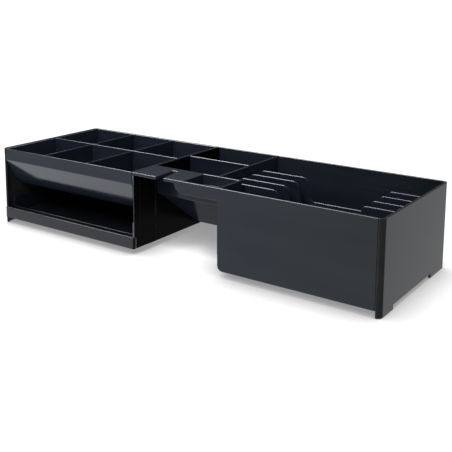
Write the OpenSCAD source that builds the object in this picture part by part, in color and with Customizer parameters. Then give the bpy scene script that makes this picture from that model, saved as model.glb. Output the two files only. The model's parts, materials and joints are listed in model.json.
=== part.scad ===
// Cash drawer organizer insert: a lift-out coin tray on the left, a bridge with
// small-change compartments in the middle and a deep note bay on the right.
// All sizes in millimetres. X runs along the length (note bay at +X), the open
// front is at -Y, Z is up and Z = 0 is the plane the feet stand on.

/* [Overall] */
// Length of the insert over the two end plates
length = 445; // [430:5:470]
// Depth of the insert, front to back
depth = 146; // [142:1:156]
// Height of the insert, feet included
height = 83; // [80:1:90]
// Depth of the relief between the feet of each end plate
foot_relief = 4; // [2:0.5:5]
// Length of each foot along the end plate
foot_length = 26; // [15:1:35]

/* [Walls] */
// Thickness of the moulded outer walls
wall = 2.4; // [2.1:0.1:2.8]
// Thickness of the walls and floors inside
inner_wall = 2; // [1.6:0.1:2.2]
// Thickness of the removable divider plates
plate = 1.6; // [1.2:0.1:1.8]
// Clearance on each side of a removable part
clearance = 0.3; // [0.25:0.05:0.4]
// Radius of the upright corners of the end plates
corner_r = 5; // [4:0.5:5]

/* [Coin bay] */
// Right-hand face of the coin bay, measured from the left end
coin_w = 188; // [180:1:192]
// Height of the coin tray's front fascia
fascia_h = 12.5; // [10:0.5:15]
// Slope of the flat part of the coin scoops, in degrees from the horizontal
scoop_angle = 62; // [58:1:66]
// Radius of the round part of the coin scoops
scoop_r = 34; // [28:1:36]
// Height of the underside of the coin tray above the table
coin_floor = 36; // [34:1:40]
// Height of the bar across the bottom of the storage opening
bar_h = 12; // [9:0.5:14]

/* [Bridge] */
// Right-hand edge of the flat land beside the coin bay
land_r = 246; // [244:1:250]
// Depth of the land, front to back
land_d = 36.4; // [34:0.2:38]
// Width of the latch slot in the land, at its open front end
slot_w = 9; // [7:0.5:10]
// Length of the latch slot in the land
slot_d = 28; // [20:1:30]

/* [Note bay] */
// Left-hand inner face of the note bay, behind the front step
note_l = 263.5; // [260:0.5:270]
// Left-hand outer face of the note bay at the front
note_front_l = 286; // [284:1:292]
// Distance of the tops of the note dividers below the rim
note_drop = 6; // [4:0.5:10]
// Distance between note dividers
note_pitch = 18.9; // [16:0.1:20]
// Depth of the finger cut-out in the note dividers
cutout_h = 23; // [15:1:30]

/* [Hidden] */

$fn = 48;
eps = 0.01;

base_z = 6;                      // underside of the trays
note_r = length - wall;          // right-hand inner face of the note bay
post_x = length - corner_r;      // where the right end plate's front return starts
rear_y = depth - wall;           // inner face of the rear wall
web_x = coin_w - 2.2;            // coin side plate, left face of the web
tray_rear = rear_y - clearance;  // rear face of the coin tray
tray_l = corner_r + clearance + 0.1;   // left end of the coin tray
tray_r = web_x - clearance;      // right end of the coin tray
mid_y = 73.3;                    // middle wall of the coin tray
coin_div_x = [64.6, 124.2];      // centre lines of the coin dividers
bridge_div_y = 90;               // centre line of the bridge divider
note_div_y = [for (i = [0:3]) 72.8 + (i - 1.5) * note_pitch];
bar_top = 5.5 + bar_h;
ramp_z = height - 27.6;          // top of the ramp under the bridge
slot_x = 215.6;                  // left side of the latch slot
rib_w = 1.4;                     // guide ribs beside the divider plates
land_t = 3;

colour_body = [0.07, 0.075, 0.085];
colour_plate = [0.09, 0.095, 0.105];
colour_tray = [0.05, 0.052, 0.06];

function arc(cx, cy, r, a0, a1, n) =
    [for (i = [0:n]) let (a = a0 + (a1 - a0) * i / n) [cx + r * cos(a), cy + r * sin(a)]];

function back(v) = [for (i = [len(v) - 1:-1:0]) v[i]];

// Arc between a slope that passes through [y0, z0] and a floor at zf.
// o is the distance inward from the outer surface.
function knee(o, y0, z0, a, r, zf, n) =
    let (yc = y0 + r * sin(a) + (z0 - (zf + r) + r * cos(a)) / tan(a))
    arc(yc, zf + r, r - o, 270 - a, 270, n);

// Cross-section of the coin tray, front to back, o inside its outer surface
function trough(o, top) = let (z0 = height - fascia_h, a = scoop_angle)
    concat([[o, top], [o, z0 - o * tan(a) + o / cos(a)]],
           knee(o, 0, z0, a, scoop_r, coin_floor, 14),
           arc(tray_rear - 26, coin_floor + 26, 26 - o, 270, 360, 8),
           [[tray_rear - o, top]]);

// Cross-section of the bridge floor, o above its underside
ramp_a = 35.2;
function ramp(o) = concat([[land_d - 1.4, ramp_z + o / cos(ramp_a) + 1.4 * tan(ramp_a)]],
                          knee(o, land_d, ramp_z, ramp_a, 22, base_z, 6),
                          [[rear_y + eps, base_z + o]]);

// Places a piece so that the origin is at the middle of the base
module place() { translate([-length / 2, -depth / 2, 0]) children(); }

// A box from corner a to corner b
module box(a, b) { translate(a) cube(b - a); }

// A flat outline in X and Z, from y0 to y0 + t
module slab_xz(pts, y0, t) {
    translate([0, y0 + t, 0]) rotate([90, 0, 0]) linear_extrude(height = t) polygon(pts);
}

// A flat outline in Y and Z, from x0 to x0 + t
module slab_yz(pts, x0, t) {
    translate([x0, 0, 0]) rotate([90, 0, 90]) linear_extrude(height = t) polygon(pts);
}

// Two guide ribs with a slot for a divider plate between them, standing on a
// wall that faces +X (dir = 1) or -X (dir = -1)
module guides_x(x, yc, dir, reach, z0, z1) {
    g = plate / 2 + clearance;
    for (s = [-1, 1])
        box([min(x, x + dir * reach), yc + (s < 0 ? -g - rib_w : g), z0],
            [max(x, x + dir * reach), yc + (s < 0 ? -g : g + rib_w), z1]);
}

// The same on a wall that faces +Y (dir = 1) or -Y (dir = -1)
module guides_y(xc, y, dir, reach, z0, z1) {
    g = plate / 2 + clearance;
    for (s = [-1, 1])
        box([xc + (s < 0 ? -g - rib_w : g), min(y, y + dir * reach), z0],
            [xc + (s < 0 ? -g : g + rib_w), max(y, y + dir * reach), z1]);
}

// Plan outline of one end plate: a web with a rounded return at each end
module end_outline(r, w) {
    difference() {
        union() {
            translate([0, r]) square([w, depth - 2 * r]);
            for (y = [r, depth - r]) translate([r, y]) circle(r = r);
        }
        translate([r, -1]) square([r + 1, depth + 2]);
        translate([w, r]) square([r, depth - 2 * r]);
        for (y = [r, depth - r]) translate([r, y]) circle(r = r - w);
    }
}

// One moulding: the note bay, the bridge with the latch land, and the rear wall
module main_tray() color(colour_body) place() difference() {
    union() {
        // front face: bridge fascia and note bay in one flat panel
        slab_xz(concat(arc(248, height, 12, 180, 270, 8),
                       [[note_front_l, height - 12], [note_front_l, base_z + 5]],
                       arc(note_front_l + 5, base_z + 5, 5, 180, 270, 6),
                       [[post_x, base_z], [post_x, height]]), 0, wall);
        // step wall of the note bay, turning into the floor at a rounded corner
        slab_xz(concat([[note_front_l, height], [note_front_l, base_z + 5]],
                       arc(note_front_l + 5, base_z + 5, 5, 180, 270, 6),
                       [[note_front_l + 30, base_z], [note_front_l + 30, base_z + inner_wall]],
                       arc(note_front_l + 5, base_z + 5, 5 - inner_wall, 270, 180, 6),
                       [[note_front_l + inner_wall, height]]), wall - eps, land_d - wall + 1);
        // note bay floor
        box([note_front_l + 29, wall - eps, base_z], [post_x, rear_y + eps, base_z + inner_wall]);
        box([note_l - inner_wall, land_d - inner_wall, base_z], [note_front_l + 30, rear_y + eps, base_z + inner_wall]);
        box([post_x - 1, corner_r + 0.2, base_z], [note_r - 0.2, depth - corner_r - 0.2, base_z + inner_wall]);
        // wall between the bridge and the note bay
        box([note_l - inner_wall, land_d - inner_wall, base_z], [note_l, rear_y + eps, height]);
        // cross wall behind the front compartment and the land
        box([coin_w, land_d - inner_wall, ramp_z - 1], [note_l, land_d, height]);
        box([note_l - eps, land_d - inner_wall, base_z], [note_front_l + inner_wall, land_d, height]);
        // ramped floor of the bridge compartments
        slab_yz(concat(ramp(0), back(ramp(inner_wall))), coin_w, note_l - inner_wall - coin_w + eps);
        // land beside the coin bay
        box([web_x, 0, height - land_t], [land_r, land_d, height]);
        // small front compartment
        box([land_r - inner_wall, wall - eps, height - 12], [note_front_l + eps, land_d, height - 12 + inner_wall]);
        box([land_r - inner_wall, wall - eps, height - 12], [land_r, land_d, height]);
        // rear wall over the whole length
        box([corner_r, rear_y, base_z], [post_x, depth, height]);
        // guides for the note dividers and the bridge divider
        for (y = note_div_y)
            guides_x(note_l - eps, y, 1, 3.5, base_z + 1, height - note_drop - 5);
        guides_x(note_l - inner_wall + eps, bridge_div_y, -1, 2.5, base_z + 10, height - 8);
    }
    // tapered latch slot, open at the front edge of the land
    translate([0, 0, height - land_t - 1]) linear_extrude(height = land_t + 2)
        polygon([[slot_x, -1], [slot_x + slot_w, -1],
                 [slot_x + slot_w - 5.4, slot_d], [slot_x - 2, slot_d]]);
}

// Drop-in coin tray: fascia, scooped floor, ends and the middle wall
module coin_tray() color(colour_tray) place() {
    t = 1.8;
    gf = trough(t, height);
    union() {
        slab_yz(concat(trough(0, height), back(trough(t, height))), tray_l, tray_r - tray_l);
        slab_yz(trough(0, height), tray_l, 1.6);
        slab_yz(trough(0, height), tray_r - 1.6, 1.6);
        // middle wall
        box([tray_l + 1, mid_y - 1, coin_floor + 1], [tray_r - 1, mid_y + 1, height]);
        // rim that covers the gap to the left end plate
        box([wall + clearance, corner_r + clearance + 0.2, height - 1.6],
            [tray_l + 1, tray_rear - corner_r, height]);
        // guides for the coin dividers
        for (x = coin_div_x) {
            guides_y(x, mid_y - 1 + eps, -1, 1.8, coin_floor + 1, height - 6);
            guides_y(x, mid_y + 1 - eps, 1, 1.8, coin_floor + 1, height - 6);
            guides_y(x, t - eps, 1, 1.6, height - fascia_h, height - 6);
            guides_y(x, tray_rear - t + eps, -1, 1.6, coin_floor + 22, height - 6);
        }
    }
}

// Outline of the upright end plates with their feet
module feet_cut(x0, x1) {
    box([x0, foot_length, -1], [x1, depth - foot_length - 10, foot_relief]);
}

module left_end_plate() color(colour_plate) place() {
    difference() {
        union() {
            linear_extrude(height = height) end_outline(corner_r, wall);
            // ledge under the coin tray and rail under the storage tray
            box([wall - eps, 52, coin_floor - 3], [tray_l + 4, 98, coin_floor - clearance]);
            box([wall - eps, 20, base_z - 0.3], [tray_l + 5, 128, base_z + 1.7]);
        }
        feet_cut(-1, wall + 0.5 - 0.6);
        feet_cut(-1, tray_l - 0.5);
        // seat of the front bar
        box([-1, -1, 5.3], [corner_r + 1, 3.2, bar_top + 0.2]);
    }
}

module right_end_plate() color(colour_plate) place() {
    difference() {
        union() {
            translate([length, 0, 0]) mirror([1, 0, 0])
                linear_extrude(height = height) end_outline(corner_r, wall);
            for (y = note_div_y)
                guides_x(note_r + eps, y, -1, 3.5, base_z + inner_wall + 0.2, height - note_drop - 5);
        }
        feet_cut(note_r - 6, length + 1);
    }
}

// Wall between the coin bay and the bridge
module coin_side_plate() color(colour_plate) place() {
    difference() {
        union() {
            box([web_x, 0, base_z], [coin_w, rear_y, height]);
            // ledge under the coin tray and rail under the storage tray
            box([web_x - 5, 52, coin_floor - 3], [web_x + eps, 98, coin_floor - clearance]);
            box([web_x - 5, 20, base_z - 0.3 + eps], [web_x + 1, 128, base_z + 1.7]);
        }
        // lap under the land
        box([web_x - 1, -1, height - land_t], [coin_w + 1, land_d, height + 1]);
        // seat of the front bar
        box([web_x - 1, -1, base_z - 1], [coin_w + 1, 3.2, bar_top + 0.2]);
        // inner front edge, set back further and further below the fascia
        slab_yz([[-1, height - fascia_h], [0, height - fascia_h], [3.7, coin_floor - 3], [-1, coin_floor - 3]],
                web_x - 1, 2.1);
        // recessed panel on the outer face, behind a plain front border
        box([coin_w - 0.6, 9.5, base_z + 4], [coin_w + 1, land_d - inner_wall - 1, height - land_t - 3]);
    }
}

// Bar across the bottom of the storage opening: an angle section
module front_bar() color(colour_plate) place() {
    union() {
        difference() {
            translate([0, 0, 5.5]) linear_extrude(height = bar_h) union() {
                translate([1.2 + 2, 0]) square([coin_w - 0.6 - 1.2 - 4, 2.8]);
                translate([1.2, 2]) square([coin_w - 0.6 - 1.2, 0.8]);
                for (x = [3.2, coin_w - 2.6]) translate([x, 2]) circle(r = 2);
            }
            box([0, 2.8, 0], [coin_w + 2, 6, height]);
        }
        box([tray_l + 1, 2.7, 5.5], [web_x - 1, 7.5, 7.3]);
    }
}

// Shallow tray under the coin tray, with a low front lip
module storage_tray() color(colour_tray) place() {
    x0 = tray_l; x1 = web_x - 0.2; y0 = 8; y1 = rear_y - 0.4;
    zf = base_z + 1.7; side = 29; lip = bar_top;
    difference() {
        box([x0, y0, zf], [x1, y1, side]);
        box([x0 + 1.6, y0 + 1.6, zf + 1.6], [x1 - 1.6, y1 - 1.6, side + 1]);
        box([x0 + 1.6, y0 - 1, lip], [x1 - 1.6, y0 + 2, side + 1]);
    }
}

// Upright plate that follows the scoop, between the fascia and the middle wall
module coin_divider_front(xc) color(colour_plate) place() {
    c = 1.8 + clearance;
    pts = [for (p = trough(c, height)) if (p[0] < mid_y - 1 - clearance - 1) p];
    slab_yz(concat(pts, [[mid_y - 1 - clearance, coin_floor + c], [mid_y - 1 - clearance, height]]),
            xc - plate / 2, plate);
}

// The same between the middle wall and the rear wall
module coin_divider_rear(xc) color(colour_plate) place() {
    c = 1.8 + clearance;
    pts = [for (p = trough(c, height)) if (p[0] > mid_y + 1 + clearance + 1) p];
    slab_yz(concat([[mid_y + 1 + clearance, height], [mid_y + 1 + clearance, coin_floor + c]], pts),
            xc - plate / 2, plate);
}

module coin_divider_front_left() coin_divider_front(coin_div_x[0]);
module coin_divider_front_right() coin_divider_front(coin_div_x[1]);
module coin_divider_rear_left() coin_divider_rear(coin_div_x[0]);
module coin_divider_rear_right() coin_divider_rear(coin_div_x[1]);

// Plate between the middle and the rear bridge compartment
module bridge_divider() color(colour_plate) place() {
    z0 = ramp_z - (bridge_div_y + plate / 2 - land_d) * tan(ramp_a) + (inner_wall + 0.6) / cos(ramp_a) + 1.2;
    slab_xz([[coin_w + clearance, z0], [note_l - inner_wall - clearance, z0],
             [note_l - inner_wall - clearance, height], [coin_w + clearance, height]],
            bridge_div_y - plate / 2, plate);
}

// Note divider: a plate with a finger cut-out between two tabs
module note_divider(i) color(colour_plate) place() {
    x0 = note_l + clearance; x1 = note_r - clearance;
    z0 = base_z + inner_wall + clearance; z1 = height - note_drop; zc = z1 - cutout_h;
    xl = 323; xr = length - 40;
    slab_xz(concat([[x0, z0], [x1, z0]],
                   arc(x1 - 2, z1 - 2, 2, 0, 90, 4),
                   arc(xr + 4.5, z1 - 4.5, 4.5, 90, 180, 6),
                   arc(xr - 7, zc + 6, 6, 0, -90, 6),
                   arc(xl + 8, zc + 6, 6, 270, 180, 6),
                   arc(xl - 6, z1 - 6, 6, 0, 90, 6),
                   arc(x0 + 10, z1 - 10, 10, 90, 180, 8)),
            note_div_y[i] - plate / 2, plate);
}

module note_divider_1() note_divider(0);
module note_divider_2() note_divider(1);
module note_divider_3() note_divider(2);
module note_divider_4() note_divider(3);

main_tray();
coin_tray();
left_end_plate();
right_end_plate();
coin_side_plate();
front_bar();
storage_tray();
coin_divider_front_left();
coin_divider_front_right();
coin_divider_rear_left();
coin_divider_rear_right();
bridge_divider();
note_divider_1();
note_divider_2();
note_divider_3();
note_divider_4();
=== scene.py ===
"""Cash drawer organizer insert: looks, floor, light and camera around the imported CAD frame."""
import json
import math

import bpy
from mathutils import Matrix, Vector


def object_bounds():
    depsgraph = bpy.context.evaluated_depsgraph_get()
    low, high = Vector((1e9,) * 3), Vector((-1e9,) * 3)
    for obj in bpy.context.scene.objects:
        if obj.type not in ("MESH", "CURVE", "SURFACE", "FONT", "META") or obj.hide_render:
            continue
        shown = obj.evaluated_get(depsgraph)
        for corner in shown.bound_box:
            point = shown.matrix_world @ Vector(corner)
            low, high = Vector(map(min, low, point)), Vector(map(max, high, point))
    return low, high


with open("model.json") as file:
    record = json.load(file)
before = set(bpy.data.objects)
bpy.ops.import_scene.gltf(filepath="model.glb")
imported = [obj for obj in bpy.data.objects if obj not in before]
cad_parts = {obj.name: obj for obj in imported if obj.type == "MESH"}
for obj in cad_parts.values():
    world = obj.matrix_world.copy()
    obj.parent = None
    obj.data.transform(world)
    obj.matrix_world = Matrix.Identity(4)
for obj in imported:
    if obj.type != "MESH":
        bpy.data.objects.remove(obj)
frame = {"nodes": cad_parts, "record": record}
lo0, hi0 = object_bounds()
nodes = frame["nodes"]
L, D, H = hi0[0] - lo0[0], hi0[1] - lo0[1], hi0[2] - lo0[2]


# soft patches of studio light: direction, full within and gone beyond (degrees), strength
LOBES = [
    ((-0.62, -0.75, -0.27), 20, 58, 0.47),    # white table in front
    ((-0.68, -0.24, -0.69), 12, 34, 1.05),    # table right before the open front
    ((0.35, 0.87, -0.34), 12, 32, 0.60),      # table behind, to the right
    ((-0.43, -0.05, 0.90), 10, 25, 12.0),      # softbox overhead, seen only in the rounded rims
    ((-0.25, 0.25, 0.93), 20, 58, 0.25),      # ceiling
    ((0.10, 0.80, 0.50), 10, 30, 0.10),       # top of the backdrop
]
AMBIENT = 0.10
FILL = 0.55          # light that reaches matt surfaces from all round
KEY = 30
FRONT = 20


# ---------------------------------------------------------------- materials
def new_material(name):
    m = bpy.data.materials.new(name)
    m.use_nodes = True
    nt = m.node_tree
    nt.nodes.clear()
    out = nt.nodes.new("ShaderNodeOutputMaterial")
    bsdf = nt.nodes.new("ShaderNodeBsdfPrincipled")
    nt.links.new(bsdf.outputs[0], out.inputs[0])
    return m, nt, bsdf


def noise(nt, vec, scale, detail=2.0, rough=0.5, stretch=None):
    n = nt.nodes.new("ShaderNodeTexNoise")
    n.inputs["Scale"].default_value = scale
    n.inputs["Detail"].default_value = detail
    n.inputs["Roughness"].default_value = rough
    if stretch:
        mp = nt.nodes.new("ShaderNodeMapping")
        mp.inputs["Scale"].default_value = stretch
        nt.links.new(vec, mp.inputs["Vector"])
        vec = mp.outputs[0]
    nt.links.new(vec, n.inputs["Vector"])
    return n.outputs["Fac"]


def remap(nt, fac, a, b, c, d):
    r = nt.nodes.new("ShaderNodeMapRange")
    for k, v in zip(("From Min", "From Max", "To Min", "To Max"), (a, b, c, d)):
        r.inputs[k].default_value = v
    nt.links.new(fac, r.inputs["Value"])
    return r.outputs[0]


def math_node(nt, op, a, b):
    n = nt.nodes.new("ShaderNodeMath")
    n.operation = op
    for i, v in enumerate((a, b)):
        if isinstance(v, (int, float)):
            n.inputs[i].default_value = v
        else:
            nt.links.new(v, n.inputs[i])
    return n.outputs[0]


def mix_colour(nt, fac, a, b):
    n = nt.nodes.new("ShaderNodeMix")
    n.data_type = "RGBA"
    nt.links.new(fac, n.inputs["Factor"])
    n.inputs["A"].default_value = (*a, 1)
    n.inputs["B"].default_value = (*b, 1)
    return n.outputs["Result"]


def black_plastic(name, dark, light, rough_lo, rough_hi, ior=1.5, peel=0.03, grain=0.5, scuff=0.5,
                  front=0.0, painted_side_shade=0.0, drift=0.0, matt=0.0):
    """Moulded black styrene: flow marks, drifting gloss, fine texture, hairline scuffs, and edges a touch paler that
    are partly wear, partly a painted highlight.
    front: a painted reflection, a paler tone on faces towards the front; painted_side_shade: painted shade, darker
    where the piece turns away sideways;
    drift: cooler on the left, warmer and greener on the right of the insert;
    matt: textured, duller floors below the rim."""
    m, nt, bsdf = new_material(name)
    tc = nt.nodes.new("ShaderNodeTexCoord").outputs["Object"]
    broad = noise(nt, tc, 9.0, 3.0, 0.5)                   # gloss drifts over 100 mm
    mid = noise(nt, tc, 120.0, 3.0, 0.6)                   # cloudy variation over 8 mm
    fine = noise(nt, tc, 1500.0, 2.0, 0.6)                 # orange peel under 1 mm
    micro = noise(nt, tc, 6500.0, 2.0, 0.6)                # spark-eroded micro texture
    flow = noise(nt, tc, 24.0, 4.0, 0.6, stretch=(0.35, 1.0, 2.6))
    # hairline scuffs: thin ridges of a stretched noise, only where a mask lets them
    hair = noise(nt, tc, 55.0, 1.0, 0.5, stretch=(1.0, 9.0, 26.0))
    ridge = math_node(nt, "ABSOLUTE", math_node(nt, "SUBTRACT", hair, 0.5), 0.0)
    line = remap(nt, ridge, 0.0, 0.004, 1.0, 0.0)
    mask = remap(nt, noise(nt, tc, 31.0, 2.0, 0.5), 0.58, 0.70, 0.0, 1.0)
    scuffs = math_node(nt, "MULTIPLY", math_node(nt, "MULTIPLY", line, mask), scuff)
    # wear and painted highlight: edges are a touch rougher and paler; the paler tone is partly wear, partly a
    # painted highlight along the rims
    bev = nt.nodes.new("ShaderNodeBevel")
    bev.samples = 4
    bev.inputs["Radius"].default_value = 0.0009
    geo = nt.nodes.new("ShaderNodeNewGeometry")
    dot = nt.nodes.new("ShaderNodeVectorMath")
    dot.operation = "DOT_PRODUCT"
    nt.links.new(bev.outputs[0], dot.inputs[0])
    nt.links.new(geo.outputs["Normal"], dot.inputs[1])
    edge_wear_and_highlight = remap(nt, dot.outputs["Value"], 0.99, 0.80, 0.0, 1.0)
    edge_wear_and_highlight = math_node(nt, "MULTIPLY", edge_wear_and_highlight, remap(nt, mid, 0.35, 0.6, 0.35, 1.0))
    # colour
    tone = mix_colour(nt, remap(nt, flow, 0.3, 0.7, 0.0, 1.0), dark, light)
    # painted highlight and wear: the base colour is mixed a touch paler along edges and hairline scuffs
    add = nt.nodes.new("ShaderNodeMix")
    add.data_type = "RGBA"
    nt.links.new(math_node(nt, "MAXIMUM", math_node(nt, "MULTIPLY", edge_wear_and_highlight, 0.30),
                           math_node(nt, "MULTIPLY", scuffs, 0.30)), add.inputs["Factor"])
    if drift:
        sx = nt.nodes.new("ShaderNodeSeparateXYZ")
        nt.links.new(tc, sx.inputs[0])
        warm = nt.nodes.new("ShaderNodeMix")
        warm.data_type = "RGBA"
        warm.blend_type = "MULTIPLY"
        nt.links.new(math_node(nt, "MULTIPLY", remap(nt, sx.outputs["X"], 0.05, 0.20, 0.0, drift),
                               remap(nt, broad, 0.3, 0.7, 0.7, 1.0)), warm.inputs["Factor"])
        nt.links.new(tone, warm.inputs["A"])
        warm.inputs["B"].default_value = (0.80, 0.86, 0.66, 1)
        tone = warm.outputs["Result"]
    if front or painted_side_shade or matt:
        sn = nt.nodes.new("ShaderNodeSeparateXYZ")
        nt.links.new(geo.outputs["Normal"], sn.inputs[0])
    # painted reflection: faces towards the front, at the front plane, get a paler tone
    if front:
        painted_reflection_mix = nt.nodes.new("ShaderNodeMix")
        painted_reflection_mix.data_type = "RGBA"
        sy = nt.nodes.new("ShaderNodeSeparateXYZ")
        nt.links.new(tc, sy.inputs[0])
        face = math_node(nt, "MULTIPLY", remap(nt, sn.outputs["Y"], -0.75, -0.95, 0.0, 1.0),
                         remap(nt, sy.outputs["Y"], -0.0675, -0.0665, 1.0, 0.0))
        nt.links.new(math_node(nt, "MULTIPLY", face, remap(nt, mid, 0.3, 0.6, 0.7, 1.0)), painted_reflection_mix.inputs["Factor"])
        nt.links.new(tone, painted_reflection_mix.inputs["A"])
        painted_reflection_mix.inputs["B"].default_value = (front, front * 1.05, front * 1.12, 1)
        tone = painted_reflection_mix.outputs["Result"]
    # painted shade: faces turning towards +X are darkened towards near-black
    if painted_side_shade:
        painted_side_shade_mix = nt.nodes.new("ShaderNodeMix")
        painted_side_shade_mix.data_type = "RGBA"
        nt.links.new(math_node(nt, "MULTIPLY", remap(nt, sn.outputs["X"], 0.10, 0.35, 0.0, painted_side_shade),
                               remap(nt, broad, 0.2, 0.5, 0.9, 1.0)), painted_side_shade_mix.inputs["Factor"])
        nt.links.new(tone, painted_side_shade_mix.inputs["A"])
        painted_side_shade_mix.inputs["B"].default_value = (0.0012, 0.0018, 0.0045, 1)
        tone = painted_side_shade_mix.outputs["Result"]
    nt.links.new(tone, add.inputs["A"])
    add.inputs["B"].default_value = (0.060, 0.062, 0.068, 1)
    nt.links.new(add.outputs["Result"], bsdf.inputs["Base Color"])
    # roughness
    r = math_node(nt, "ADD", remap(nt, broad, 0.3, 0.7, rough_lo, rough_hi),
                  remap(nt, mid, 0.3, 0.7, -0.012, 0.015))
    r = math_node(nt, "ADD", r, math_node(nt, "MULTIPLY", scuffs, 0.16))
    r = math_node(nt, "ADD", r, math_node(nt, "MULTIPLY", edge_wear_and_highlight, 0.05))
    if matt:
        sz = nt.nodes.new("ShaderNodeSeparateXYZ")
        nt.links.new(tc, sz.inputs[0])
        low = math_node(nt, "MULTIPLY", remap(nt, sn.outputs["Z"], 0.45, 0.90, 0.0, matt),
                        remap(nt, sz.outputs["Z"], 0.0770, 0.0785, 1.0, 0.0))
        r = math_node(nt, "ADD", r, low)
    nt.links.new(r, bsdf.inputs["Roughness"])
    bsdf.inputs["IOR"].default_value = ior
    # bump
    h = math_node(nt, "ADD", math_node(nt, "MULTIPLY", fine, 0.7), math_node(nt, "MULTIPLY", micro, 0.3))
    b1 = nt.nodes.new("ShaderNodeBump")
    b1.inputs["Strength"].default_value = grain
    b1.inputs["Distance"].default_value = 0.000004
    nt.links.new(h, b1.inputs["Height"])
    b2 = nt.nodes.new("ShaderNodeBump")
    b2.inputs["Strength"].default_value = peel
    b2.inputs["Distance"].default_value = 0.0004
    nt.links.new(mid, b2.inputs["Height"])
    nt.links.new(b1.outputs[0], b2.inputs["Normal"])
    nt.links.new(b2.outputs[0], bsdf.inputs["Normal"])
    return m


MATS = {
    "tray_body": black_plastic("tray_black", (0.0075, 0.0095, 0.0150), (0.0112, 0.0140, 0.0210), 0.10, 0.15, drift=1.0, matt=0.45),
    "coin_body": black_plastic("coin_black", (0.008, 0.0105, 0.0175), (0.012, 0.0155, 0.0245), 0.09, 0.14),
    "end_plate": black_plastic("end_black", (0.0095, 0.0098, 0.0102), (0.013, 0.0132, 0.0138), 0.14, 0.20, ior=1.36),
    # painted light: the front bar's base colour is paler than the other black pieces, standing in for light the bar
    # shows; its sideways faces get painted shade
    "front_bar": black_plastic("bar_black", (0.012, 0.0135, 0.017), (0.016, 0.018, 0.022), 0.16, 0.22, painted_side_shade=1.0),
    "storage_body": black_plastic("storage_black", (0.004, 0.005, 0.007), (0.006, 0.0075, 0.010), 0.16, 0.22),
    "divider": black_plastic("divider_black", (0.006, 0.008, 0.0145), (0.009, 0.012, 0.020), 0.10, 0.14, ior=1.62),
}
# the plate between the coin side and the bridge is a dull, deep black all over: painted shade, a darker copy of the
# black plastic for the shade on its side face; its faces towards the front carry a paler painted reflection
PAINTED_SHADE_SIDE = black_plastic("side_painted_shade_black", (0.0010, 0.0011, 0.0013), (0.0018, 0.0019, 0.0022), 0.22, 0.30, ior=1.10, scuff=0.15, front=0.085)
slot_of = {s["node"]: s["material_slot"] for s in frame["record"]["subparts"]}


def dress(obj, mat, bevel, segments=3, angle=24):
    obj.data.materials.clear()
    obj.data.materials.append(mat)
    w = obj.modifiers.new("weld", "WELD")
    w.merge_threshold = 0.00004
    d = obj.modifiers.new("planar", "DECIMATE")
    d.decimate_type = "DISSOLVE"
    d.angle_limit = math.radians(0.6)
    b = obj.modifiers.new("edges", "BEVEL")
    b.width = bevel
    b.segments = segments
    b.limit_method = "ANGLE"
    b.angle_limit = math.radians(angle)
    b.use_clamp_overlap = False
    b.harden_normals = False
    b.miter_outer = "MITER_SHARP"
    for p in obj.data.polygons:
        p.use_smooth = True
    n = obj.modifiers.new("normals", "WEIGHTED_NORMAL")
    n.keep_sharp = True
    n.weight = 50


BEVELS = {"tray_body": 0.00055, "coin_body": 0.0005, "end_plate": 0.0006, "front_bar": 0.0006,
          "storage_body": 0.0005, "divider": 0.0005}
for name, obj in nodes.items():
    slot = slot_of[name]
    dress(obj, PAINTED_SHADE_SIDE if name == "coin_side_plate" else MATS[slot], BEVELS[slot])


# ---------------------------------------------------------------- floor
def plane(name, size, loc, mat):
    me = bpy.data.meshes.new(name)
    s = size / 2
    me.from_pydata([(-s, -s, 0), (s, -s, 0), (s, s, 0), (-s, s, 0)], [], [(0, 1, 2, 3)])
    ob = bpy.data.objects.new(name, me)
    ob.location = loc
    me.materials.append(mat)
    bpy.context.scene.collection.objects.link(ob)
    return ob


fm, fnt, fb = new_material("studio_floor")
fb.inputs["Base Color"].default_value = (0.13, 0.13, 0.13, 1)
fb.inputs["Roughness"].default_value = 0.8
fb.inputs["Specular IOR Level"].default_value = 0.0
# a glowing table (painted light from the floor itself), its glow dimmed by ambient occlusion close to what stands on
# it: a painted contact shadow
painted_shadow_ao = fnt.nodes.new("ShaderNodeAmbientOcclusion")
painted_shadow_ao.samples = 8
painted_shadow_ao.inputs["Distance"].default_value = 0.045
fnt.links.new(remap(fnt, painted_shadow_ao.outputs["AO"], 0.35, 0.90, 0.30, 0.96), fb.inputs["Emission Strength"])
fb.inputs["Emission Color"].default_value = (1, 1, 1, 1)
floor = plane("floor", 24.0, (0, 0, -0.0002), fm)
floor.visible_glossy = False     # the table's glow in the gloss comes from the studio below


# ---------------------------------------------------------------- light
def area(name, loc, target, sx, sy, power, colour=(1, 1, 1), spread=180):
    li = bpy.data.lights.new(name, "AREA")
    li.shape = "RECTANGLE"
    li.size, li.size_y = sx, sy
    li.energy = power
    li.color = colour
    li.spread = math.radians(spread)
    ob = bpy.data.objects.new(name, li)
    ob.location = loc
    ob.rotation_mode = "QUATERNION"
    ob.rotation_quaternion = (Vector(target) - Vector(loc)).to_track_quat("-Z", "Y")
    ob.visible_camera = False
    bpy.context.scene.collection.objects.link(ob)
    return ob


# a long softbox over the insert, parallel to its front, gives the bright rims
area("strip_top", (-0.80, 0.12, 1.15), (-0.55, 0.02, 0.0), 1.7, 0.55, KEY, (1.0, 0.995, 0.99))

# a softbox from the front, above the camera: it lights the matt share of walls and floors inside
area("front_fill", (0.26, -1.10, 1.05), (0.0, 0.0, 0.03), 0.5, 0.5, FRONT).visible_glossy = False

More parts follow.
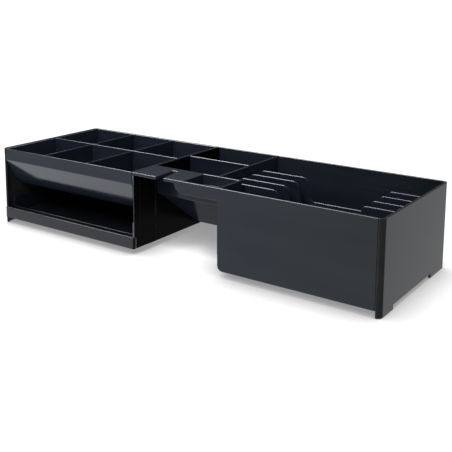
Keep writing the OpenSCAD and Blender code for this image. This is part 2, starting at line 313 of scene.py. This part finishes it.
world = bpy.data.worlds.new("studio")
bpy.context.scene.world = world
world.use_nodes = True
world.cycles.sampling_method = "NONE"
wn = world.node_tree
wn.nodes.clear()
wo = wn.nodes.new("ShaderNodeOutputWorld")
lp = wn.nodes.new("ShaderNodeLightPath")
tc = wn.nodes.new("ShaderNodeTexCoord")
nv = wn.nodes.new("ShaderNodeVectorMath")
nv.operation = "NORMALIZE"
wn.links.new(tc.outputs["Generated"], nv.inputs[0])


def lobe(centre, inner, outer, strength):
    """A soft round patch of light in the studio around one direction."""
    c = Vector(centre).normalized()
    d = wn.nodes.new("ShaderNodeVectorMath")
    d.operation = "DOT_PRODUCT"
    wn.links.new(nv.outputs[0], d.inputs[0])
    d.inputs[1].default_value = c
    r = wn.nodes.new("ShaderNodeMapRange")
    r.interpolation_type = "SMOOTHSTEP"
    r.inputs["From Min"].default_value = math.cos(math.radians(outer))
    r.inputs["From Max"].default_value = math.cos(math.radians(inner))
    r.inputs["To Min"].default_value = 0.0
    r.inputs["To Max"].default_value = strength
    wn.links.new(d.outputs["Value"], r.inputs["Value"])
    return r.outputs[0]


total = None
for args in LOBES:
    v = lobe(*args)
    if total is None:
        total = v
    else:
        m = wn.nodes.new("ShaderNodeMath")
        m.operation = "ADD"
        wn.links.new(total, m.inputs[0])
        wn.links.new(v, m.inputs[1])
        total = m.outputs[0]
m = wn.nodes.new("ShaderNodeMath")
m.operation = "ADD"
wn.links.new(total, m.inputs[0])
m.inputs[1].default_value = AMBIENT
bg_env = wn.nodes.new("ShaderNodeBackground")
bg_env.inputs["Color"].default_value = (0.95, 0.975, 1.0, 1)
wn.links.new(m.outputs[0], bg_env.inputs["Strength"])
bg_fill = wn.nodes.new("ShaderNodeBackground")
bg_fill.inputs["Color"].default_value = (1.0, 1.0, 1.0, 1)
bg_fill.inputs["Strength"].default_value = FILL
bg_seen = wn.nodes.new("ShaderNodeBackground")
bg_seen.inputs["Color"].default_value = (1.0, 1.0, 1.0, 1)
bg_seen.inputs["Strength"].default_value = 1.03
mf = wn.nodes.new("ShaderNodeMixShader")
wn.links.new(lp.outputs["Is Diffuse Ray"], mf.inputs[0])
wn.links.new(bg_env.outputs[0], mf.inputs[1])
wn.links.new(bg_fill.outputs[0], mf.inputs[2])
mx = wn.nodes.new("ShaderNodeMixShader")
wn.links.new(lp.outputs["Is Camera Ray"], mx.inputs[0])
wn.links.new(mf.outputs[0], mx.inputs[1])
wn.links.new(bg_seen.outputs[0], mx.inputs[2])
wn.links.new(mx.outputs[0], wo.inputs["Surface"])

bpy.context.scene.view_settings.view_transform = "Standard"
bpy.context.scene.view_settings.look = "None"

# ---------------------------------------------------------------- camera
cam = bpy.data.cameras.new("camera")
cam_ob = bpy.data.objects.new("camera", cam)
bpy.context.scene.collection.objects.link(cam_ob)
bpy.context.scene.camera = cam_ob
F_PX, YAW, PITCH, ROLL = 797.9, math.radians(34.53), math.radians(9.66), math.radians(0.39)
cam.sensor_width = 36.0
cam.lens = F_PX / 452 * 36.0
cam.shift_y = -0.25
cam.clip_start, cam.clip_end = 0.02, 60
pos = Vector(((681.5 - 222.5) / 1000, (-561.8 - 73) / 1000, 267.7 / 1000))
fwd0 = Vector((-math.sin(YAW), math.cos(YAW), 0))
right0 = Vector((math.cos(YAW), math.sin(YAW), 0))
up0 = Vector((0, 0, 1))
fwd = fwd0 * math.cos(PITCH) - up0 * math.sin(PITCH)
up1 = up0 * math.cos(PITCH) + fwd0 * math.sin(PITCH)
right = right0 * math.cos(ROLL) + up1 * math.sin(ROLL)
up = up1 * math.cos(ROLL) - right0 * math.sin(ROLL)
rot = Matrix((right, up, -fwd)).transposed()
cam_ob.matrix_world = Matrix.Translation(pos) @ rot.to_4x4()
